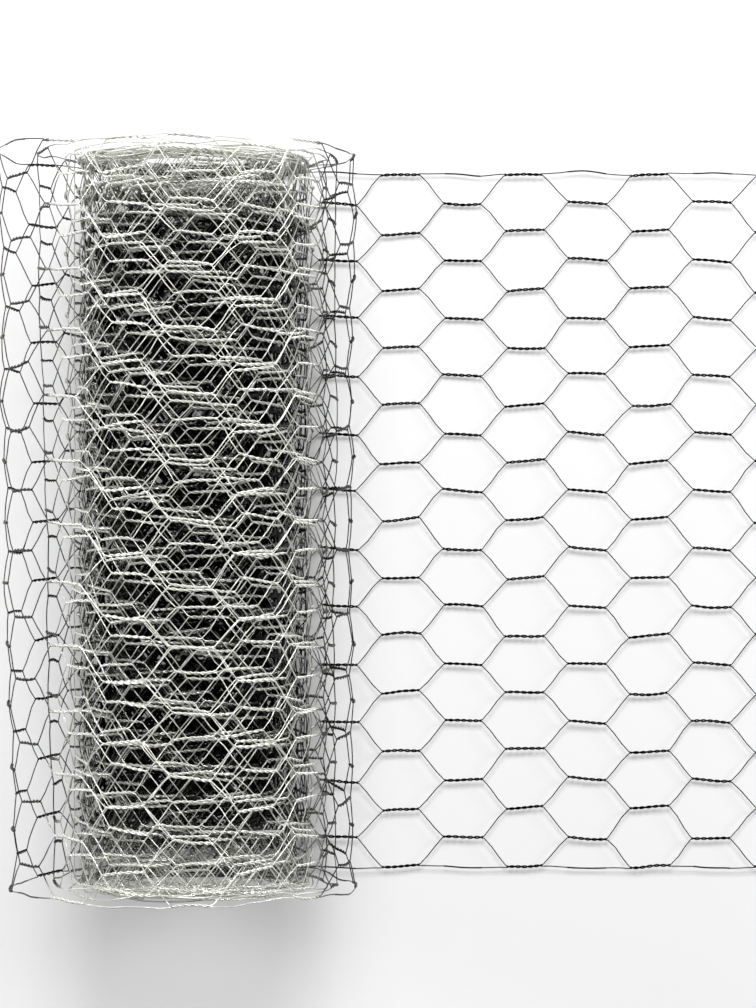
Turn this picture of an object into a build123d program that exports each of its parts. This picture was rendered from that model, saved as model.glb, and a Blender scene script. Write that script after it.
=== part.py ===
from build123d import *
import os
from math import cos, exp, hypot, pi, sin

# Roll of hexagonal wire netting lying on its side, with its outer end unrolled on the floor.
# The roll's axis lies along Y, the unrolled end runs out along +X and Z points up from the floor.

# Wire and mesh, in millimetres
wire_diameter = 0.6
mesh_width = 25.0
twist_length = 17.0
diagonal_run_length = 10.0
cells_across = 12

# Wound roll
roll_radius = 51.5
bore_radius = 22.5
turn_thickness = 2.1
turns_in_ring = 2
ring_groove_depth = 1.6
end_land_width = 1.4
seat_clearance = 0.2

# Loose outer turn, which springs out from the radius that it closes in on
loose_turn_radius = 60.5
spring_radius = 23.0
spring_fade_turns = 0.71
floor_lead_length = 14.3

# Unrolled end
flat_columns = 9
cut_stub_share = 0.5

# Working allowances
cut_overrun = 0.2
chord_refinements = 6

# Sizes that follow from the values above
column_pitch = twist_length + diagonal_run_length
half_mesh = mesh_width / 2
half_thickness = wire_diameter
line_width = cells_across * mesh_width
netting_width = line_width + 2 * wire_diameter
edge_line = line_width / 2
selvedge_inner_edge = edge_line - wire_diameter
mesh_half_height = half_mesh - wire_diameter
cut_stub = diagonal_run_length * cut_stub_share
flat_length = floor_lead_length + flat_columns * column_pitch + cut_stub


def turn_radius(turns):
    """Radius of the netting after a number of turns inward from the floor."""
    return loose_turn_radius - turn_thickness * turns + spring_radius * exp(-turns / spring_fade_turns)


def netting_point(turns):
    """Point of the netting's middle plane, measured from the floor straight below the roll's axis.

    Negative turns lie on the floor, where the netting is already flat.
    """
    if turns < 0:
        return (-2 * pi * turns * turn_radius(0), half_thickness)
    radius = turn_radius(turns)
    centre_height = radius + half_thickness + turn_thickness * turns
    angle = 2 * pi * turns
    return (-radius * sin(angle), centre_height - radius * cos(angle))


def next_turns(turns, chord):
    """Turns at which the netting is one straight chord further in."""
    x_start, z_start = netting_point(turns)
    step = chord / (2 * pi * turn_radius(max(turns, 0)))
    for _ in range(chord_refinements):
        x_end, z_end = netting_point(turns + step)
        step = step * chord / hypot(x_end - x_start, z_end - z_start)
    return turns + step


def loose_twists():
    """Start and end points of the twists of the loose turn, from the floor round to below the roll."""
    turns = -floor_lead_length / (2 * pi * turn_radius(0))
    turns_end = next_turns(turns, twist_length)
    twists = []
    while turns_end < 1:
        twists.append((netting_point(turns), netting_point(turns_end)))
        turns = next_turns(turns_end, diagonal_run_length)
        turns_end = next_turns(turns, twist_length)
    return twists


def flat_twists(count):
    """Start and end points of the twists on the floor, from the outermost one back to the roll."""
    twists = []
    for column in range(count, 0, -1):
        x_start = floor_lead_length + column * column_pitch
        twists.append(((x_start, half_thickness), (x_start - twist_length, half_thickness)))
    return twists


def direction(start, end):
    """Unit direction from one point to another."""
    length = hypot(end[0] - start[0], end[1] - start[1])
    return ((end[0] - start[0]) / length, (end[1] - start[1]) / length)


def normal_of(twist):
    """Unit direction that stands on a twist, toward the roll's axis."""
    along = direction(*twist)
    return (along[1], -along[0])


def moved(point, normal, distance):
    """Point moved along a direction."""
    return (point[0] + normal[0] * distance, point[1] + normal[1] * distance)


def stations(twists):
    """Ends of the twists in order, each with the direction that stands on its twist."""
    return [(point, normal_of(twist)) for twist in twists for point in twist]


def section_side(places, side):
    """One side of the netting's section, half the thickness of a twisted pair from the middle plane."""
    return [moved(point, normal, side * half_thickness) for point, normal in places]


def plain_strip(places):
    """Netting before its meshes are cut: the section drawn out across the full width."""
    section = section_side(places, 1) + section_side(places, -1)[::-1]
    corners = [Vector(roll_axis_x + x, -netting_width / 2, z) for x, z in section]
    return extrude(Face(Wire.make_polygon(corners, close=True)), amount=netting_width, dir=(0, 1, 0))


def tip_shift(run):
    """Distance from a twist's end to the tip of the mesh there, which leaves each diagonal one wire wide."""
    spare = half_mesh - 2 * wire_diameter
    length = hypot(run, mesh_half_height)
    return wire_diameter * (length - run) / spare


def mesh_corners(run_before, run_after, centre_line):
    """Corners of one mesh, as distances along the twist beside it and across the netting.

    A mesh on the netting's edge is halved by the selvedge, and one without further diagonals is left open.
    """
    low = max(-mesh_half_height, -selvedge_inner_edge - centre_line)
    high = min(mesh_half_height, selvedge_inner_edge - centre_line)
    lead_tip = run_before - tip_shift(run_before)
    tail_tip = run_after - tip_shift(run_after) if run_after is not None else cut_overrun
    heights = [low, high]
    if low < 0 < high:
        heights = [low, 0.0, high]
    lead = []
    tail = []
    for height in heights:
        slope_share = 1 - abs(height) / mesh_half_height
        lead.append((-lead_tip * slope_share, centre_line + height))
        tail_share = slope_share if run_after is not None else 1
        tail.append((twist_length + tail_tip * tail_share, centre_line + height))
    return lead + tail[::-1]


def run_and_sag(twist, near, far):
    """How far a neighbouring twist lies along this one's direction, and how far it bends to the inside."""
    along = direction(*twist)
    normal = normal_of(twist)
    step = (far[0] - near[0], far[1] - near[1])
    return (abs(step[0] * along[0] + step[1] * along[1]), step[0] * normal[0] + step[1] * normal[1])


def column_cutters(before, twist, after, edge_column):
    """Prisms that open the row of meshes beside the twists of one column."""
    along = direction(*twist)
    normal = normal_of(twist)
    run_before, sag = run_and_sag(twist, twist[0], before[1])
    run_after = None
    if after is not None:
        run_after, sag_after = run_and_sag(twist, twist[1], after[0])
        sag = max(sag, sag_after)
    below = half_thickness + cut_overrun
    depth = 2 * below + max(sag, 0)
    first_line = half_mesh - edge_line if edge_column else -edge_line
    line_count = cells_across if edge_column else cells_across + 1
    cutters = []
    for line in range(line_count):
        corners = []
        for distance, across in mesh_corners(run_before, run_after, first_line + line * mesh_width):
            x_on, z_on = moved(moved(twist[0], along, distance), normal, -below)
            corners.append(Vector(roll_axis_x + x_on, across, z_on))
        face = Face(Wire.make_polygon(corners, close=True))
        cutters.append(extrude(face, amount=depth, dir=(normal[0], 0, normal[1])))
    return cutters


def resting_height(twists):
    """Height of the axis at which the roll rests on the inside of the netting, but for its clearance."""
    reach = roll_radius + seat_clearance + half_thickness
    heights = []
    for twist in twists:
        x_start, z_start = twist[0]
        x_normal, z_normal = normal_of(twist)
        if z_normal > 0:
            heights.append(z_start + (reach + x_normal * x_start) / z_normal)
    return max(heights)


def turned_roll():
    """Wound part of the roll: a turned body with its bore, its turns standing out as rings on both ends."""
    rings_width = roll_radius - end_land_width - bore_radius
    ring_count = int(rings_width / (turns_in_ring * turn_thickness))
    ring_width = rings_width / ring_count
    end_plane = netting_width / 2
    end = [(roll_radius, end_plane)]
    for ring in range(ring_count):
        ridge = roll_radius - end_land_width - ring * ring_width
        end.append((ridge, end_plane))
        end.append((ridge - ring_width / 2, end_plane - ring_groove_depth))
    end.append((bore_radius, end_plane))
    profile = end + [(radius, -across) for radius, across in reversed(end)]
    corners = [Vector(roll_axis_x + radius, across, roll_axis_height) for radius, across in profile]
    axis = Axis((roll_axis_x, 0, roll_axis_height), (0, 1, 0))
    return revolve(Face(Wire.make_polygon(corners, close=True)), axis, revolution_arc=360)


# The netting's path: two columns that are cut away, the columns on the floor, then once round the roll
floor_path = flat_twists(flat_columns + 2)
loose_path = loose_twists()
path = floor_path + loose_path
cut_place = ((flat_length, half_thickness), normal_of(floor_path[0]))
roll_axis_height = resting_height(loose_path)
reach_left = min(x for x, z in section_side(stations(loose_path), -1))
roll_axis_x = -(flat_length + reach_left) / 2

# Meshes, column by column; every second column has its outer twists on the selvedge
column_meshes = []
for number in range(1, len(path)):
    following = path[number + 1] if number + 1 < len(path) else None
    on_selvedge = (number - len(floor_path)) % 2 == 1
    column_meshes.append(column_cutters(path[number - 1], path[number], following, on_selvedge))
floor_meshes = sum(column_meshes[:flat_columns + 2], [])
loose_meshes = sum(column_meshes[flat_columns + 1:], [])

floor_places = [cut_place] + stations(floor_path[2:]) + stations(loose_path)[:1]
unrolled_end = plain_strip(floor_places).cut(*floor_meshes)
loose_turn = plain_strip(stations(loose_path)).cut(*loose_meshes)
wound_roll = turned_roll()

os.makedirs("parts", exist_ok=True)
export_step(wound_roll, "parts/wound_roll.step")
export_step(loose_turn, "parts/loose_turn.step")
export_step(unrolled_end, "parts/unrolled_end.step")
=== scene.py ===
"""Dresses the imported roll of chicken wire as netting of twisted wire, on a pale studio floor.

Each wire is drawn flat with its twists and diagonals, laid out lane by lane across the netting's width,
and wound by Geometry Nodes along the line that the netting follows from its cut end to the bore.
All lengths are in metres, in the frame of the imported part.
"""

import logging
import math
from dataclasses import dataclass
from enum import Enum
from typing import Any, Optional, Union

import bpy
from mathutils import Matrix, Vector


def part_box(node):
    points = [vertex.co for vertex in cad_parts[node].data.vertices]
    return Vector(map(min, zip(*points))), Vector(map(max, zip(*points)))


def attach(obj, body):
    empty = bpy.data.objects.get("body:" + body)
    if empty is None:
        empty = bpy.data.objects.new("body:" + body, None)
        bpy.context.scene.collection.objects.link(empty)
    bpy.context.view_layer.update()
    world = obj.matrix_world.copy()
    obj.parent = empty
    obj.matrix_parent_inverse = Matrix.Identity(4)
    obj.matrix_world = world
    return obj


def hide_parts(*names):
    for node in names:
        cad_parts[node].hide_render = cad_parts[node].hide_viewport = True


MM = 0.001
HALF = 0.5
RANDOM_FLOAT = 1  # output of a Random Value node, whose outputs all have the same name
LOG = logging.getLogger("roll_of_chicken_wire")

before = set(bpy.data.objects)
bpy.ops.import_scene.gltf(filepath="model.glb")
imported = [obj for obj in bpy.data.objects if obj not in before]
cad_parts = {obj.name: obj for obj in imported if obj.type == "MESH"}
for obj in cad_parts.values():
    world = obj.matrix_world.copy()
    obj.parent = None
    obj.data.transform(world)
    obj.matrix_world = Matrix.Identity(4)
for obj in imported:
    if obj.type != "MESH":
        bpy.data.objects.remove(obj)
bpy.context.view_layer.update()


class Value:
    """Output of a node that takes part in arithmetic, each step of which becomes one Math node."""

    def __init__(self, graph: "Graph", socket: bpy.types.NodeSocket) -> None:
        """Keeps the graph and the socket that the value comes from.

        Args:
            graph: Graph that new Math nodes are added to.
            socket: Output socket that carries the value.
        """
        self.graph = graph
        self.socket = socket

    def __add__(self, other: "Number") -> "Value":
        """Sum with another value."""
        return self.graph.math("ADD", self, other)

    def __radd__(self, other: "Number") -> "Value":
        """Sum with a plain number on the left."""
        return self.graph.math("ADD", other, self)

    def __sub__(self, other: "Number") -> "Value":
        """Difference to another value."""
        return self.graph.math("SUBTRACT", self, other)

    def __rsub__(self, other: "Number") -> "Value":
        """Difference from a plain number on the left."""
        return self.graph.math("SUBTRACT", other, self)

    def __mul__(self, other: "Number") -> "Value":
        """Product with another value."""
        return self.graph.math("MULTIPLY", self, other)

    def __rmul__(self, other: "Number") -> "Value":
        """Product with a plain number on the left."""
        return self.graph.math("MULTIPLY", other, self)

    def __truediv__(self, other: "Number") -> "Value":
        """Quotient by another value."""
        return self.graph.math("DIVIDE", self, other)

    def __rtruediv__(self, other: "Number") -> "Value":
        """Quotient of a plain number by this value."""
        return self.graph.math("DIVIDE", other, self)

    def __mod__(self, other: "Number") -> "Value":
        """Remainder, never negative for a positive divisor."""
        return self.graph.math("FLOORED_MODULO", self, other)

    def __gt__(self, other: "Number") -> "Value":
        """One where this value is the larger, and zero elsewhere."""
        return self.graph.math("GREATER_THAN", self, other)

    def __neg__(self) -> "Value":
        """Value with its sign changed."""
        return self.graph.math("MULTIPLY", self, -1.0)

    def __abs__(self) -> "Value":
        """Value without its sign."""
        return self.graph.math("ABSOLUTE", self)

    def floor(self) -> "Value":
        """Whole number at or below the value."""
        return self.graph.math("FLOOR", self)

    def root(self) -> "Value":
        """Square root of the value."""
        return self.graph.math("SQRT", self)

    def sine(self) -> "Value":
        """Sine of the value in radians."""
        return self.graph.math("SINE", self)

    def cosine(self) -> "Value":
        """Cosine of the value in radians."""
        return self.graph.math("COSINE", self)

    def at_most(self, other: "Number") -> "Value":
        """Smaller of the two values."""
        return self.graph.math("MINIMUM", self, other)

    def at_least(self, other: "Number") -> "Value":
        """Larger of the two values."""
        return self.graph.math("MAXIMUM", self, other)

    def alternating(self) -> "Value":
        """Minus one for an even whole number, and one for an odd one."""
        return self % 2 * 2.0 - 1.0

    def ramp(self, low: "Number", high: "Number", start: "Number" = 0.0, end: "Number" = 1.0) -> "Value":
        """Smooth step between two levels.

        Args:
            low: Value at which the ramp starts.
            high: Value at which the ramp ends.
            start: Level before the ramp.
            end: Level after the ramp.

        Returns:
            The level for this value.
        """
        inputs = {"Value": self, "From Min": low, "From Max": high, "To Min": start, "To Max": end}
        node = self.graph.node("ShaderNodeMapRange", {"interpolation_type": "SMOOTHSTEP"}, inputs)
        return self.graph.value(node, "Result")


Number = Union[Value, float, int]


class Graph:
    """Builds one node tree, for a shader or for geometry, from plain expressions."""

    def __init__(self, tree: bpy.types.NodeTree) -> None:
        """Takes the tree to build in.

        Args:
            tree: Node tree, which may already hold its output nodes.
        """
        self.tree = tree

    def feed(self, socket: bpy.types.NodeSocket, source: Any) -> None:
        """Links a value or a socket to an input, or sets the input to a constant.

        Args:
            socket: Input socket.
            source: Value, output socket or constant.
        """
        if isinstance(source, Value):
            self.tree.links.new(source.socket, socket)
        elif isinstance(source, bpy.types.NodeSocket):
            self.tree.links.new(source, socket)
        else:
            socket.default_value = source

    def node(
        self,
        kind: str,
        settings: Optional[dict[str, Any]] = None,
        inputs: Optional[dict[Union[str, int], Any]] = None,
    ) -> bpy.types.Node:
        """Adds one node.

        Args:
            kind: Type of the node.
            settings: Properties of the node.
            inputs: Input sockets, by name or number, with what feeds them.

        Returns:
            The new node.
        """
        made = self.tree.nodes.new(kind)
        for name, setting in (settings or {}).items():
            setattr(made, name, setting)
        for name, source in (inputs or {}).items():
            self.feed(made.inputs[name], source)
        return made

    def value(self, node: bpy.types.Node, output: Union[str, int] = 0) -> Value:
        """Output of a node, ready for arithmetic."""
        return Value(self, node.outputs[output])

    def math(self, operation: str, *operands: Number) -> Value:
        """Adds one Math node.

        Args:
            operation: Name of the operation.
            operands: Values or plain numbers, in order.

        Returns:
            The result.
        """
        return self.value(self.node("ShaderNodeMath", {"operation": operation}, dict(enumerate(operands))))

    def parts(self, vector: Any) -> tuple[Value, Value, Value]:
        """Three components of a vector.

        Args:
            vector: Socket or value that carries the vector.

        Returns:
            Its X, Y and Z.
        """
        split = self.node("ShaderNodeSeparateXYZ", None, {"Vector": vector})
        return self.value(split, "X"), self.value(split, "Y"), self.value(split, "Z")

    def vector(self, x: Number = 0.0, y: Number = 0.0, z: Number = 0.0) -> Value:
        """Vector made of three values."""
        return self.value(self.node("ShaderNodeCombineXYZ", None, {"X": x, "Y": y, "Z": z}))

    def noise(self, place: Any, grain: float, detail: float = 1.0) -> tuple[Value, Value, Value]:
        """Three independent smooth noises, each about zero.

        Args:
            place: Vector that the noise is read at.
            grain: Size of the noise's lumps.
            detail: Number of finer layers.

        Returns:
            Three values, mostly between minus a half and a half.
        """
        inputs = {"Vector": place, "Scale": 1.0 / grain, "Detail": detail}
        made = self.node("ShaderNodeTexNoise", {"noise_dimensions": "3D"}, inputs)
        first, second, third = self.parts(made.outputs["Color"])
        return first - HALF, second - HALF, third - HALF


class Detail(Enum):
    """How finely a stretch of wire is drawn.

    Each choice gives the steps in a twist, the steps in a diagonal, the sides of the wire's section, how much
    larger than the wire that section is drawn, since a section of few sides looks thin, and how much larger
    again it is deep in the roll, where that closes the view through it.
    """

    FINE = (32, 3, 5, 1.0, 1.0)
    MEDIUM = (24, 3, 4, 1.0, 1.0)
    LEAN = (18, 2, 3, 1.21, 1.0)
    PLAIN = (12, 1, 3, 1.21, 2.9)

    @property
    def twist_steps(self) -> int:
        """Steps along one twist."""
        return self.value[0]

    @property
    def diagonal_steps(self) -> int:
        """Steps along one diagonal."""
        return self.value[1]

    @property
    def sides(self) -> int:
        """Sides of the wire's section."""
        return self.value[2]

    @property
    def section_share(self) -> float:
        """Size of the section as a share of the wire's."""
        return self.value[3]

    @property
    def hidden_share(self) -> float:
        """Size of the section away from the roll's ends, as a share of its size there."""
        return self.value[4]

    @property
    def column_steps(self) -> int:
        """Steps along one twist and one diagonal."""
        return self.twist_steps + self.diagonal_steps


@dataclass(frozen=True)
class Mesh:
    """Sizes of the wire and of the hexagonal mesh woven from it.

    The wire is dipped after weaving, so zinc fills out the twists and runs off the diagonals.
    """

    wire_diameter: float = 0.6 * MM
    mesh_width: float = 25.0 * MM
    twist_length: float = 17.0 * MM
    diagonal_run: float = 10.0 * MM
    cells_across: int = 12
    cut_stub: float = 5.0 * MM
    twist_turns: float = 3.0
    twist_tilt: float = 0.9 * MM
    twist_slack: float = 1.2
    bend_share: float = 0.25
    bare_share: float = 0.82
    filled_share: float = 1.18

    @property
    def wire_radius(self) -> float:
        """Half the wire's diameter."""
        return self.wire_diameter / 2

    @property
    def lane(self) -> float:
        """Width of the lane that one wire keeps to."""
        return self.mesh_width / 2

    @property
    def column_pitch(self) -> float:
        """Length of one twist and one diagonal along the netting."""
        return self.twist_length + self.diagonal_run


@dataclass(frozen=True)
class Winding:
    """Line that the netting follows: along the floor, once loosely round the roll, then turn on turn.

    The first turn springs outward, the slack ones close in on the roll, the tight ones lie close on each
    other, and the inner ones, which the others hide, lie further apart. Each turn rests on the last below
    the roll's axis.
    """

    axis_x: float
    axis_z: float
    cut_end_x: float
    floor_height: float
    loose_radius: float = 60.5 * MM
    loose_thickness: float = 2.1 * MM
    spring_radius: float = 23.0 * MM
    spring_fade_turns: float = 0.71
    slack_turns: float = 3.0
    slack_sway: float = 3.0 * MM
    tight_radius: float = 48.4 * MM
    tight_turns: float = 10.0
    tight_thickness: float = 0.7 * MM
    inner_thickness: float = 1.93 * MM
    bore_radius: float = 22.5 * MM
    hidden_start_share: float = 0.92
    hidden_end_share: float = 0.75
    steps_per_turn: int = 90

    @property
    def turns(self) -> float:
        """Number of turns from the floor in to the bore.

        Returns:
            The number, which isn't whole.
        """
        inner_radius = self.tight_radius - self.tight_turns * self.tight_thickness
        inner_turns = (inner_radius - self.bore_radius) / self.inner_thickness
        return 1.0 + self.slack_turns + self.tight_turns + inner_turns

    @property
    def floor_length(self) -> float:
        """Length of netting on the floor, from the cut end to below the roll's axis."""
        return self.cut_end_x - self.axis_x

    def build_up(self, turns: float, slack_thickness: float) -> float:
        """Sum of the turns' thicknesses, of which the slack ones have a thickness of their own.

        Args:
            turns: Turns in from the floor.
            slack_thickness: Distance from one slack turn to the next.

        Returns:
            Distance from the outermost turn.
        """
        loose = min(turns, 1.0)
        slack = min(turns - loose, self.slack_turns)
        tight = min(turns - loose - slack, self.tight_turns)
        inner = turns - loose - slack - tight
        wound = tight * self.tight_thickness + inner * self.inner_thickness
        return loose * self.loose_thickness + slack * slack_thickness + wound

    def radius(self, turns: float) -> float:
        """Radius of the netting after a number of turns.

        Args:
            turns: Turns in from the floor.

        Returns:
            Distance from the turn's own centre.
        """
        closing = (self.loose_radius - self.loose_thickness - self.tight_radius) / self.slack_turns
        spring = self.spring_radius * math.exp(-turns / self.spring_fade_turns)
        return self.loose_radius - self.build_up(turns, closing) + spring

    def point(self, turns: float) -> Vector:
        """Point of the line after a number of turns.

        Args:
            turns: Turns in from the floor.

        Returns:
            The point, half way across the netting.
        """
        tight_rest = self.axis_z - self.floor_height - self.tight_radius
        slack_rest = (tight_rest - self.loose_thickness) / self.slack_turns
        radius = self.radius(turns)
        centre_z = radius + self.floor_height + self.build_up(turns, slack_rest)
        centre_x = self.axis_x + self.slack_sway * math.exp(-((turns - 1.0 - self.slack_turns / 2) ** 2))
        angle = math.tau * turns
        return Vector((centre_x - radius * math.sin(angle), 0.0, centre_z - radius * math.cos(angle)))

    def points(self, turns: float) -> list[Vector]:
        """Points of the line, from the cut end inward.

        Args:
            turns: Turns in from the floor at which the points end.

        Returns:
            The points in order.
        """
        count = int(turns * self.steps_per_turn)
        wound = [self.point(step / self.steps_per_turn) for step in range(count + 1)]
        return [Vector((self.cut_end_x, 0.0, self.floor_height))] + wound

    def length(self, turns: float) -> float:
        """Length of the netting along the line, from the cut end.

        Args:
            turns: Turns in from the floor at which the length ends.

        Returns:
            The length.
        """
        points = self.points(turns)
        return sum((after - before).length for before, after in zip(points, points[1:]))

    def curve(self) -> bpy.types.Object:
        """Curve object that the netting is wound along.

        Returns:
            The new curve, linked to the scene.
        """
        data = bpy.data.curves.new("winding_line", "CURVE")
        data.dimensions = "3D"
        points = self.points(self.turns)
        spline = data.splines.new("POLY")
        spline.points.add(len(points) - 1)
        for target, point in zip(spline.points, points):
            target.co = (*point, 1.0)
        made = bpy.data.objects.new("winding_line", data)
        bpy.context.collection.objects.link(made)
        return made


@dataclass(frozen=True)
class Unevenness:
    """How far real netting strays from the drawing: meshes pulled askew, waves, lumps of zinc.

    The stray and the drift grow along the netting, and the waves fade, over so many lengths of its floor part
    or of all that lies outside the slack turns.
    """

    seed: int = 7
    mesh_grain: float = 34.0 * MM
    mesh_stray: float = 4.6 * MM
    kink_grain: float = 13.0 * MM
    kink_stray: float = 1.0 * MM
    roll_stray: float = 1.6
    roll_stray_lengths: float = 2.0
    tight_stray: float = 0.6
    wave_grain: float = 70.0 * MM
    loose_wave: float = 7.0 * MM
    tight_wave: float = 0.6 * MM
    wave_lengths: float = 2.0
    wave_start_height: float = 5.0 * MM
    wave_full_height: float = 60.0 * MM
    floor_rise: float = 3.8 * MM
    floor_settle: float = 50.0 * MM
    turn_grain: float = 420.0 * MM
    turn_drift: float = 44.0 * MM
    end_drift_share: float = 0.4
    drift_start_lengths: float = 2.0
    drift_full_lengths: float = 3.0
    lean: float = 0.021
    lump_chance: float = 0.0012
    lump_size: float = 0.8


@dataclass(frozen=True)
class Zinc:
    """Finish of hot-dipped wire: bright zinc, partly matte, with duller clouds and fine grain.

    Painted shade darkens it deep in the roll and low under its axis. More painted shade darkens it toward the
    floor and at the sides of the loose and slack turns.
    """

    axis_x: float
    axis_z: float
    roll_radius: float
    half_width: float
    bright: tuple[float, float, float] = (0.98, 0.985, 0.91)
    dull: tuple[float, float, float] = (0.8, 0.805, 0.735)
    # Painted shade deep in the roll and low under its axis inside the outer turns: where it starts and is
    # full, as shares of the roll's radius, the height it reaches, its darkest level, and the share of the
    # half width beyond which it fades out toward the ends.
    deep_shade_start_share: float = 0.975
    deep_shade_end_share: float = 0.78
    under_shade_start_share: float = 0.97
    under_shade_end_share: float = 0.9
    under_shade_height: float = 25.0 * MM
    deep_shade_level: float = 0.03
    deep_shade_fade_share: float = 0.8
    # Painted shade toward the floor, at full colour from the height below, and at the sides of the loose and
    # slack turns, as shares of the roll's radius.
    floor_shade_level: float = 0.22
    full_height: float = 100.0 * MM
    side_shade_start_share: float = 0.97
    side_shade_end_share: float = 1.08
    side_shade_level: float = 0.05
    matte_share: float = 0.62
    smooth: float = 0.14
    rough: float = 0.28
    cloud_grain: float = 22.0 * MM
    cloud_weight: float = 1.6
    noise_detail: float = 2.0
    fine_grain: float = 1.6 * MM
    grain_weight: float = 0.8
    grain_roughness: float = 0.1
    grain_bump: float = 0.08

    def level(self, graph: Graph, place: bpy.types.NodeSocket) -> Value:
        """How far painted shade darkens the zinc at a place, apart from its clouds.

        Args:
            graph: Graph of the material.
            place: Place in the frame.

        Returns:
            One where no shade is painted. It is less deep in the roll, low under its axis, toward the floor
            and at the sides of the loose and slack turns.
        """
        x, y, z = graph.parts(place)
        beside = x - self.axis_x
        above = z - self.axis_z
        radius_share = (beside * beside + above * above).root() / self.roll_radius
        # Painted shade deep in the roll, and below the axis inside the outer turns; it fades out toward the
        # roll's ends.
        low = above.ramp(0.0, self.under_shade_height, 1.0, 0.0)
        painted_under_shade = radius_share.ramp(self.under_shade_end_share, self.under_shade_start_share, 1.0, 0.0) * low
        painted_deep_shade = radius_share.ramp(self.deep_shade_end_share, self.deep_shade_start_share, 1.0, 0.0).at_least(painted_under_shade)
        painted_deep_shade = painted_deep_shade * (abs(y) / self.half_width).ramp(self.deep_shade_fade_share, 1.0, 1.0, 0.0)
        # Painted shade toward the floor and at the sides of the loose and slack turns, beside the roll.
        side_share = abs(beside) / self.roll_radius
        painted_open_shade = side_share.ramp(self.side_shade_start_share, self.side_shade_end_share, 1.0, self.side_shade_level)
        painted_open_shade = painted_open_shade * z.ramp(0.0, self.full_height, self.floor_shade_level, 1.0)
        return (1.0 - painted_deep_shade * (1.0 - self.deep_shade_level)) * painted_open_shade

    def material(self) -> bpy.types.Material:
        """Builds the procedural material.

        Returns:
            The new material.
        """
        made = bpy.data.materials.new("galvanised_wire")
        made.use_nodes = True
        graph = Graph(made.node_tree)
        shader = made.node_tree.nodes["Principled BSDF"]
        place = graph.node("ShaderNodeTexCoord").outputs["Object"]
        cloud, _, patch = graph.noise(place, self.cloud_grain, self.noise_detail)
        grain, _, _ = graph.noise(place, self.fine_grain, self.noise_detail)
        fresh = (HALF - cloud * self.cloud_weight - grain * self.grain_weight).at_least(0.0).at_most(1.0)
        # The level is painted shade: it darkens the base colour and, where lower, makes the wire more
        # metallic.
        level = self.level(graph, place)
        shades = [(dull + fresh * (bright - dull)) * level for bright, dull in zip(self.bright, self.dull)]
        colour = graph.node("ShaderNodeCombineColor", None, dict(enumerate(shades)))
        graph.feed(shader.inputs["Base Color"], colour.outputs["Color"])
        roughness = (patch + HALF) * (self.rough - self.smooth) + self.smooth + grain * self.grain_roughness
        graph.feed(shader.inputs["Roughness"], roughness)
        relief = {"Strength": self.grain_bump, "Distance": self.fine_grain, "Height": grain}
        bump = graph.node("ShaderNodeBump", None, relief)
        graph.feed(shader.inputs["Normal"], bump.outputs["Normal"])
        graph.feed(shader.inputs["Metallic"], 1.0 - level * self.matte_share)
        return made


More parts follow.
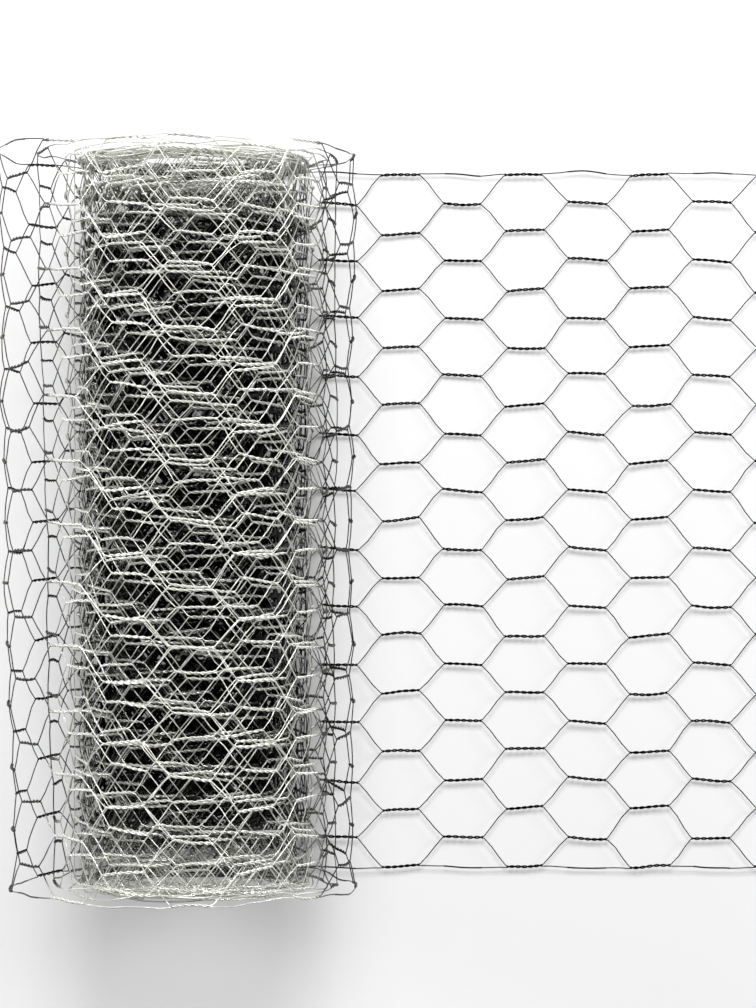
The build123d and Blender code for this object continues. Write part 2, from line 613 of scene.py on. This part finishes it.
class NettingTree:
    """Geometry Nodes tree that draws a stretch of netting flat and winds it along the line."""

    INPUTS = {
        "Line": "NodeSocketObject",
        "Material": "NodeSocketMaterial",
        "First Step": "NodeSocketFloat",
        "Step Count": "NodeSocketInt",
        "Twist Steps": "NodeSocketFloat",
        "Diagonal Steps": "NodeSocketFloat",
        "Wire Sides": "NodeSocketInt",
        "Section Share": "NodeSocketFloat",
        "Hidden Share": "NodeSocketFloat",
        "Wire Radius": "NodeSocketFloat",
        "Lane Width": "NodeSocketFloat",
        "Lane Count": "NodeSocketInt",
        "Twist Length": "NodeSocketFloat",
        "Diagonal Run": "NodeSocketFloat",
        "Cut Stub": "NodeSocketFloat",
        "Twist Turns": "NodeSocketFloat",
        "Twist Slack": "NodeSocketFloat",
        "Twist Tilt": "NodeSocketFloat",
        "Diagonal Bend": "NodeSocketFloat",
        "Bare Share": "NodeSocketFloat",
        "Filled Share": "NodeSocketFloat",
        "Mesh Stray": "NodeSocketFloat",
        "Kink Stray": "NodeSocketFloat",
        "Roll Stray": "NodeSocketFloat",
        "Tight Stray": "NodeSocketFloat",
        "Loose Wave": "NodeSocketFloat",
        "Tight Wave": "NodeSocketFloat",
        "Floor Rise": "NodeSocketFloat",
        "Turn Drift": "NodeSocketFloat",
        "Lean": "NodeSocketFloat",
        "Lump Chance": "NodeSocketFloat",
        "Lump Size": "NodeSocketFloat",
        "Seed": "NodeSocketInt",
    }

    def __init__(self, mesh: Mesh, winding: Winding, uneven: Unevenness) -> None:
        """Builds the tree.

        Args:
            mesh: Sizes of the mesh.
            winding: Line that the netting follows.
            uneven: How far the netting strays from the drawing.
        """
        self.winding = winding
        self.uneven = uneven
        self.sizes = {
            "Wire Radius": mesh.wire_radius,
            "Lane Width": mesh.lane,
            "Lane Count": 2 * mesh.cells_across,
            "Twist Length": mesh.twist_length,
            "Diagonal Run": mesh.diagonal_run,
            "Cut Stub": mesh.cut_stub,
            "Twist Turns": mesh.twist_turns,
            "Twist Slack": mesh.twist_slack,
            "Twist Tilt": mesh.twist_tilt,
            "Diagonal Bend": mesh.bend_share,
            "Bare Share": mesh.bare_share,
            "Filled Share": mesh.filled_share,
            "Mesh Stray": uneven.mesh_stray,
            "Kink Stray": uneven.kink_stray,
            "Roll Stray": uneven.roll_stray,
            "Tight Stray": uneven.tight_stray,
            "Loose Wave": uneven.loose_wave,
            "Tight Wave": uneven.tight_wave,
            "Floor Rise": uneven.floor_rise,
            "Turn Drift": uneven.turn_drift,
            "Lean": uneven.lean,
            "Lump Chance": uneven.lump_chance,
            "Lump Size": uneven.lump_size,
            "Seed": uneven.seed,
        }
        self.tree = bpy.data.node_groups.new("wound_netting", "GeometryNodeTree")
        self.graph = Graph(self.tree)
        self.identifiers: dict[str, str] = {}
        for name, kind in self.INPUTS.items():
            socket = self.tree.interface.new_socket(name, in_out="INPUT", socket_type=kind)
            self.identifiers[name] = socket.identifier
        self.tree.interface.new_socket("Netting", in_out="OUTPUT", socket_type="NodeSocketGeometry")
        self.entry = self.graph.node("NodeGroupInput")
        self._finish(self._wind(self._lanes()))

    def set_up(self, modifier: bpy.types.NodesModifier, settings: dict[str, Any]) -> None:
        """Gives a modifier this tree, its sizes and the settings of one stretch.

        Args:
            modifier: Modifier of the object that becomes the stretch.
            settings: What differs from stretch to stretch, by the names of the tree's inputs.
        """
        modifier.node_group = self.tree
        for name, setting in {**self.sizes, **settings}.items():
            modifier[self.identifiers[name]] = setting

    def _given(self, name: str) -> Value:
        """One of the tree's named inputs."""
        return self.graph.value(self.entry, name)

    def _wire(self, place: Value) -> bpy.types.NodeSocket:
        """Line of points in the tree's steps, moved to given places.

        Args:
            place: Place of each point.

        Returns:
            The curve.
        """
        graph = self.graph
        line = graph.node("GeometryNodeCurvePrimitiveLine")
        steps = graph.node(
            "GeometryNodeResampleCurve",
            {"mode": "COUNT"},
            {"Curve": line.outputs["Curve"], "Count": self._given("Step Count")},
        )
        moved = graph.node(
            "GeometryNodeSetPosition", None, {"Geometry": steps.outputs["Curve"], "Position": place}
        )
        return moved.outputs["Geometry"]

    def _copies(
        self, wire: bpy.types.NodeSocket, count: Number, first: Value, offset: Value
    ) -> bpy.types.NodeSocket:
        """Copies of a wire across the netting, every second one turned over.

        Args:
            wire: Curve to copy.
            count: Number of copies.
            first: Place of the first copy across the netting.
            offset: Distance from copy to copy.

        Returns:
            The copies.
        """
        graph = self.graph
        places = {"Count": count, "Start Location": graph.vector(y=first), "Offset": graph.vector(y=offset)}
        line = graph.node("GeometryNodeMeshLine", {"mode": "OFFSET"}, places)
        index = graph.value(graph.node("GeometryNodeInputIndex"))
        turned_over = graph.vector(x=(index % 2) * math.pi)
        rotation = graph.node("FunctionNodeEulerToRotation", None, {"Euler": turned_over})
        placed = graph.node(
            "GeometryNodeInstanceOnPoints",
            None,
            {"Points": line.outputs["Mesh"], "Instance": wire, "Rotation": rotation.outputs["Rotation"]},
        )
        return placed.outputs["Instances"]

    def _lanes(self) -> bpy.types.NodeSocket:
        """Flat netting: one wire in each lane and a straight selvedge wire along each edge.

        In every second column a wire is twisted with its neighbour on one side, and in the others with the
        one on the other side.

        Returns:
            Curves with the way along the netting as X, across it as Y and its thickness as Z.
        """
        graph = self.graph
        twist_steps, diagonal_steps = self._given("Twist Steps"), self._given("Diagonal Steps")
        twist_length, diagonal_run = self._given("Twist Length"), self._given("Diagonal Run")
        lane, lane_count = self._given("Lane Width"), self._given("Lane Count")
        column_steps = twist_steps + diagonal_steps
        step = graph.value(graph.node("GeometryNodeInputIndex")) + self._given("First Step")
        column = (step / column_steps).floor()
        within = step - column * column_steps
        twist = (within / twist_steps).at_most(1.0)
        diagonal = ((within - twist_steps) / diagonal_steps).at_least(0.0)
        column_start = column * (twist_length + diagonal_run) + self._given("Cut Stub")
        along = column_start + twist * twist_length + diagonal * diagonal_run
        side = column.alternating()
        angle = twist * self._given("Twist Turns") * math.tau
        radius = self._given("Wire Radius") * self._given("Twist Slack")
        crossed = diagonal + (diagonal.ramp(0.0, 1.0) - diagonal) * self._given("Diagonal Bend")
        across = side * (lane / 2 - angle.cosine() * radius - crossed * (lane - radius * 2))
        mesh_wire = self._wire(graph.vector(along, across, side * angle.sine() * radius))
        edge_angle = angle * (1.0 - column % 2)
        edge_across = -edge_angle.cosine() * radius
        edge_wire = self._wire(graph.vector(along, edge_across, edge_angle.sine() * radius))
        width = lane * lane_count
        lanes = self._copies(mesh_wire, lane_count, (lane - width) / 2, lane)
        edges = self._copies(edge_wire, 2, -width / 2, width)
        joined = graph.node("GeometryNodeJoinGeometry")
        graph.feed(joined.inputs["Geometry"], lanes)
        graph.feed(joined.inputs["Geometry"], edges)
        real = graph.node("GeometryNodeRealizeInstances", None, {"Geometry": joined.outputs["Geometry"]})
        return real.outputs["Geometry"]

    def _tilt(self, along: Value) -> Value:
        """How far the twists lean across the netting, one column to one side and the next to the other.

        Args:
            along: Way along the flat netting.

        Returns:
            Distance across, which stays the same along the diagonals.
        """
        twist_length = self._given("Twist Length")
        pitch = twist_length + self._given("Diagonal Run")
        columns = (along - self._given("Cut Stub")) / pitch
        column = columns.floor()
        twist = ((columns - column) * pitch / twist_length).at_most(1.0)
        return column.alternating() * (twist - HALF) * self._given("Twist Tilt")

    def _wind(self, flat: bpy.types.NodeSocket) -> bpy.types.NodeSocket:
        """Pulls the flat netting slightly askew and winds it along the line.

        Args:
            flat: Curves of the flat netting.

        Returns:
            The wound curves.
        """
        graph, uneven, winding = self.graph, self.uneven, self.winding
        mesh_stray, kink_stray = self._given("Mesh Stray"), self._given("Kink Stray")
        seed, tight_wave = self._given("Seed"), self._given("Tight Wave")
        along, across, lift = graph.parts(graph.node("GeometryNodeInputPosition").outputs["Position"])
        place = graph.vector(along, across, seed)
        stray_along, stray_across, _ = graph.noise(place, uneven.mesh_grain)
        kink_along, kink_across, kink_lift = graph.noise(place, uneven.kink_grain)
        wave, rise, _ = graph.noise(place, uneven.wave_grain)
        drift, _, _ = graph.noise(graph.vector(along, 0.0, seed), uneven.turn_grain)
        from_middle = self._from_middle(across)
        drift_share = 1.0 - from_middle * from_middle * (1.0 - uneven.end_drift_share)
        floor_end = winding.floor_length
        slack_end = winding.length(1.0 + winding.slack_turns)
        roll_full = floor_end * uneven.roll_stray_lengths
        astray = along.ramp(floor_end, roll_full, 1.0, self._given("Roll Stray"))
        astray = astray * along.ramp(slack_end, slack_end + floor_end, 1.0, self._given("Tight Stray"))
        way = along + (stray_along * mesh_stray + kink_along * kink_stray) * astray
        line = graph.node("GeometryNodeObjectInfo", None, {"Object": self._given("Line")})
        course = {"Curves": line.outputs["Geometry"], "Length": way}
        sampled = graph.node("GeometryNodeSampleCurve", {"mode": "LENGTH"}, course)
        line_x, _, line_z = graph.parts(sampled.outputs["Position"])
        tangent_x, _, tangent_z = graph.parts(sampled.outputs["Tangent"])
        loose_end = floor_end + math.tau * winding.radius(HALF)
        loose = way.ramp(loose_end, loose_end * uneven.wave_lengths, 1.0, 0.0)
        loose = loose * line_z.ramp(uneven.wave_start_height, uneven.wave_full_height)
        on_roll = way.ramp(floor_end - uneven.floor_settle, floor_end)
        waves = wave * (loose * (self._given("Loose Wave") - tight_wave) + tight_wave)
        risen = (rise + HALF) * self._given("Floor Rise") * (1.0 - on_roll)
        to_left = line_x.ramp(winding.axis_x, winding.axis_x - winding.loose_radius)
        leaned = across * self._given("Lean") * loose * to_left
        inward = lift + waves * on_roll + risen + kink_lift * tight_wave - leaned
        drift_start = floor_end * uneven.drift_start_lengths
        drifting = way.ramp(drift_start, floor_end * uneven.drift_full_lengths)
        sideways = (stray_across * mesh_stray + kink_across * kink_stray) * astray
        drifted = drift * drift_share * self._given("Turn Drift") * drifting
        shifted = across + self._tilt(along) + sideways + drifted
        wound = graph.vector(line_x + tangent_z * inward, shifted, line_z - tangent_x * inward)
        moved = graph.node("GeometryNodeSetPosition", None, {"Geometry": flat, "Position": wound})
        return moved.outputs["Geometry"]

    def _from_middle(self, across: Value) -> Value:
        """Way across the netting, as a share of half its width."""
        return across / (self._given("Lane Width") * self._given("Lane Count") / 2)

    def _thickness(self) -> Value:
        """How much thicker or thinner than its section the wire is at each point.

        The twists are filled out with zinc, the diagonals are bare, a lump of zinc sits here and there, and
        the inner turns are thicker where the roll hides them.

        Returns:
            Share of the section's size.
        """
        graph = self.graph
        chance = graph.node("FunctionNodeRandomValue", {"data_type": "FLOAT"}, {"Seed": self._given("Seed")})
        lump = graph.value(chance, RANDOM_FLOAT) > 1.0 - self._given("Lump Chance")
        twist_steps = self._given("Twist Steps")
        index = graph.value(graph.node("GeometryNodeInputIndex"))
        step = index % self._given("Step Count") + self._given("First Step")
        within = step % (twist_steps + self._given("Diagonal Steps"))
        twisted = (within > HALF) * (twist_steps - HALF > within)
        bare = self._given("Bare Share")
        filled = twisted * (self._given("Filled Share") - bare) + bare
        _, across, _ = graph.parts(graph.node("GeometryNodeInputPosition").outputs["Position"])
        hidden_end, hidden_start = self.winding.hidden_end_share, self.winding.hidden_start_share
        from_middle = abs(self._from_middle(across))
        hidden = from_middle.ramp(hidden_end, hidden_start, self._given("Hidden Share"), 1.0)
        return filled * hidden * (lump * self._given("Lump Size") + 1.0)

    def _finish(self, wires: bpy.types.NodeSocket) -> None:
        """Makes the wires solid and gives them their material.

        Args:
            wires: Curves of the wound netting.
        """
        graph = self.graph
        section = self._given("Wire Radius") * self._given("Section Share")
        profile = graph.node(
            "GeometryNodeCurvePrimitiveCircle",
            {"mode": "RADIUS"},
            {"Resolution": self._given("Wire Sides"), "Radius": section},
        )
        solid = graph.node(
            "GeometryNodeCurveToMesh",
            None,
            {
                "Curve": wires,
                "Profile Curve": profile.outputs["Curve"],
                "Scale": self._thickness(),
                "Fill Caps": True,
            },
        )
        smooth = graph.node("GeometryNodeSetShadeSmooth", None, {"Geometry": solid.outputs["Mesh"]})
        real = graph.node("GeometryNodeRealizeInstances", None, {"Geometry": smooth.outputs["Geometry"]})
        dressed = graph.node(
            "GeometryNodeSetMaterial",
            None,
            {"Geometry": real.outputs["Geometry"], "Material": self._given("Material")},
        )
        graph.node("NodeGroupOutput", None, {"Netting": dressed.outputs["Geometry"]})


@dataclass(frozen=True)
class Stretch:
    """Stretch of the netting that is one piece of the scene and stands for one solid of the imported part."""

    name: str
    node: str
    first_column: int
    columns: int
    detail: Detail
    has_cut_end: bool = False

    def build(
        self, tree: NettingTree, line: bpy.types.Object, material: bpy.types.Material
    ) -> bpy.types.Object:
        """Makes the stretch as a plain mesh.

        Args:
            tree: Tree that draws and winds the netting.
            line: Curve that the netting is wound along.
            material: Finish of the wire.

        Returns:
            The new object, in place in the frame.
        """
        stub_steps = self.detail.diagonal_steps // 2 if self.has_cut_end else 0
        settings = {
            "Line": line,
            "Material": material,
            "First Step": float(self.first_column * self.detail.column_steps - stub_steps),
            "Step Count": self.columns * self.detail.column_steps + stub_steps + 1,
            "Twist Steps": float(self.detail.twist_steps),
            "Diagonal Steps": float(self.detail.diagonal_steps),
            "Wire Sides": self.detail.sides,
            "Section Share": self.detail.section_share,
            "Hidden Share": self.detail.hidden_share,
        }
        made = bpy.data.objects.new(self.name, bpy.data.meshes.new(self.name))
        bpy.context.collection.objects.link(made)
        tree.set_up(made.modifiers.new("netting", "NODES"), settings)
        depsgraph = bpy.context.evaluated_depsgraph_get()
        baked = bpy.data.meshes.new_from_object(made.evaluated_get(depsgraph), depsgraph=depsgraph)
        made.modifiers.clear()
        made.data = baked
        return made


@dataclass(frozen=True)
class Roll:
    """The roll of netting, built stretch by stretch from the cut end to the bore."""

    mesh: Mesh
    winding: Winding
    uneven: Unevenness
    finish: Zinc
    floor_columns: int = 9
    loose_columns: int = 17
    slack_columns: int = 20
    tight_columns: int = 52

    def stretches(self) -> list[Stretch]:
        """Stretches in order; the inner turns, which are hardly seen, are drawn more plainly.

        Returns:
            The stretches.
        """
        length = self.winding.length(self.winding.turns)
        total = int((length - self.mesh.cut_stub) / self.mesh.column_pitch)
        plan = (
            ("netting_on_floor", "unrolled_end", self.floor_columns, Detail.FINE),
            ("netting_loose_turn", "loose_turn", self.loose_columns, Detail.FINE),
            ("netting_first_slack_turns", "wound_roll", self.slack_columns, Detail.MEDIUM),
            ("netting_next_slack_turns", "wound_roll", self.slack_columns, Detail.MEDIUM),
            ("netting_first_tight_turns", "wound_roll", self.tight_columns, Detail.LEAN),
            ("netting_next_tight_turns", "wound_roll", self.tight_columns, Detail.LEAN),
            ("netting_inner_turns", "wound_roll", total, Detail.PLAIN),
        )
        made: list[Stretch] = []
        first = 0
        for name, node, columns, detail in plan:
            made.append(Stretch(name, node, first, min(columns, total - first), detail, first == 0))
            first += columns
        return made

    def build(self) -> None:
        """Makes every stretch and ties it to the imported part."""
        tree = NettingTree(self.mesh, self.winding, self.uneven)
        line = self.winding.curve()
        material = self.finish.material()
        for stretch in self.stretches():
            piece = stretch.build(tree, line, material)
            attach(piece, "root")
            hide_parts(stretch.node)
            LOG.info("%s: %d columns, %d faces", piece.name, stretch.columns, len(piece.data.polygons))
        bpy.data.objects.remove(line)


@dataclass(frozen=True)
class PaleFloor:
    """Floor: matte and nearly white. For the camera and for reflections it is mixed with glowing white, which
    is painted light, more of it where the roll doesn't lie on it.
    """

    covered_low: Vector
    covered_high: Vector
    colour: tuple[float, float, float] = (0.95, 0.95, 0.95)
    cloud: float = 0.01
    cloud_grain: float = 0.5
    roughness: float = 1.0
    specular: float = 0.0
    # Glowing white mixed into the floor as painted light: its strength, its share near and under the roll,
    # its share in the open, and the width of the change.
    white_level: float = 1.0
    white_share: float = 0.04
    open_white_share: float = 0.3
    open_margin: float = 8.0 * MM

    def whiteness(self, graph: Graph, place: bpy.types.NodeSocket) -> Value:
        """Share of glowing white, painted light, that the camera and the wires see in the floor.

        Args:
            graph: Graph of the material.
            place: Place in the frame.

        Returns:
            The share, which is larger away from the roll.
        """
        rays = graph.node("ShaderNodeLightPath")
        seen = graph.value(rays, "Is Camera Ray")
        for kind in ("Is Glossy Ray", "Is Transmission Ray"):
            seen = seen.at_least(graph.value(rays, kind))
        x, y, _ = graph.parts(place)
        middle = (self.covered_low + self.covered_high) / 2
        half = (self.covered_high - self.covered_low) / 2
        beside = (abs(x - middle.x) - half.x).ramp(0.0, self.open_margin)
        beyond = (abs(y - middle.y) - half.y).ramp(0.0, self.open_margin)
        away = beside.at_least(beyond)
        return seen * (away * (self.open_white_share - self.white_share) + self.white_share)

    def material(self) -> bpy.types.Material:
        """Builds the procedural material.

        Returns:
            The new material.
        """
        made = bpy.data.materials.new("pale_floor")
        made.use_nodes = True
        graph = Graph(made.node_tree)
        shader = made.node_tree.nodes["Principled BSDF"]
        place = graph.node("ShaderNodeTexCoord").outputs["Object"]
        cloud, _, _ = graph.noise(place, self.cloud_grain)
        shade = 1.0 + cloud * self.cloud
        shades = dict(enumerate(shade * level for level in self.colour))
        tint = graph.node("ShaderNodeCombineColor", None, shades)
        graph.feed(shader.inputs["Base Color"], tint.outputs["Color"])
        graph.feed(shader.inputs["Roughness"], self.roughness)
        graph.feed(shader.inputs["Specular IOR Level"], self.specular)
        white = graph.node("ShaderNodeEmission", None, {"Strength": self.white_level})
        mixed = graph.node(
            "ShaderNodeMixShader",
            None,
            {0: self.whiteness(graph, place), 1: shader.outputs["BSDF"], 2: white.outputs["Emission"]},
        )
        graph.feed(made.node_tree.nodes["Material Output"].inputs["Surface"], mixed.outputs["Shader"])
        return made


@dataclass(frozen=True)
class Floor:
    """Floor that the roll lies on."""

    finish: PaleFloor
    size: float = 8.0
    drop: float = 0.3 * MM

    def build(self) -> bpy.types.Object:
        """Makes the floor.

        Returns:
            The new object, which isn't part of the roll.
        """
        edge = self.size / 2
        outline = ((-edge, -edge), (edge, -edge), (edge, edge), (-edge, edge))
        data = bpy.data.meshes.new("floor")
        data.from_pydata([(x, y, -self.drop) for x, y in outline], [], [tuple(range(len(outline)))])
        data.materials.append(self.finish.material())
        made = bpy.data.objects.new("floor", data)
        bpy.context.collection.objects.link(made)
        return made


@dataclass(frozen=True)
class Lamp:
    """Soft square lamp aimed at the roll."""

    name: str
    direction: tuple[float, float, float]
    distance: float
    size: float
    power: float

    def build(self, target: Vector) -> bpy.types.Object:
        """Makes the lamp.

        Args:
            target: Point that the lamp faces.

        Returns:
            The new lamp.
        """
        data = bpy.data.lights.new(self.name, "AREA")
        data.size = self.size
        data.energy = self.power
        made = bpy.data.objects.new(self.name, data)
        bpy.context.collection.objects.link(made)
        toward = Vector(self.direction).normalized()
        made.location = target + toward * self.distance
        made.rotation_mode = "QUATERNION"
        made.rotation_quaternion = toward.to_track_quat("Z", "Y")
        return made


@dataclass(frozen=True)
class Studio:
    """Floor, lamps, surrounding light and the camera that looks straight down as the photograph does."""

    roll_axis_x: float
    floor: Floor
    camera_beside_axis: float = 77.0 * MM
    camera_along_axis: float = 6.9 * MM
    camera_height: float = 1378.0 * MM
    view_height: float = 438.3 * MM
    sensor: float = 36.0
    clip_heights: float = 10.0
    world_level: float = 0.008
    lamps: tuple[Lamp, ...] = (
        Lamp("key_lamp", (0.1, 1.0, 1.2), distance=1.9, size=0.75, power=31.5),
        Lamp("top_lamp", (-0.1, 0.15, 1.0), distance=2.1, size=0.8, power=8.0),
        Lamp("left_lamp", (-1.0, 0.3, 0.4), distance=1.9, size=0.5, power=16.0),
        Lamp("right_lamp", (1.0, 0.3, 0.4), distance=1.9, size=0.5, power=16.0),
    )

    def build(self) -> None:
        """Makes the studio around the roll."""
        scene = bpy.context.scene
        scene.view_settings.view_transform = "Standard"
        self.floor.build()
        for lamp in self.lamps:
            lamp.build(Vector((self.roll_axis_x, 0.0, 0.0)))
        world = bpy.data.worlds.new("studio")
        world.use_nodes = True
        level = self.world_level
        world.node_tree.nodes["Background"].inputs["Color"].default_value = (level, level, level, 1.0)
        scene.world = world
        data = bpy.data.cameras.new("camera")
        data.sensor_width = self.sensor
        data.lens = self.sensor * self.camera_height / self.view_height
        data.clip_end = self.camera_height * self.clip_heights
        camera = bpy.data.objects.new("camera", data)
        camera_x = self.roll_axis_x + self.camera_beside_axis
        camera.location = (camera_x, self.camera_along_axis, self.camera_height)
        bpy.context.collection.objects.link(camera)
        scene.camera = camera


def main() -> None:
    """Builds the roll and the studio."""
    logging.basicConfig(level=logging.INFO, format="%(name)s: %(message)s")
    mesh = Mesh()
    roll_low, roll_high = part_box("wound_roll")
    _, end_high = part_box("unrolled_end")
    axis_x = (roll_low[0] + roll_high[0]) / 2
    axis_z = (roll_low[2] + roll_high[2]) / 2
    winding = Winding(axis_x, axis_z, end_high[0], mesh.wire_diameter)
    finish = Zinc(axis_x, axis_z, (roll_high[2] - roll_low[2]) / 2, roll_high[1])
    Roll(mesh, winding, Unevenness(), finish).build()
    floor = Floor(PaleFloor(Vector(roll_low), Vector(roll_high)))
    Studio(winding.axis_x, floor).build()


if __name__ == "__main__":
    main()
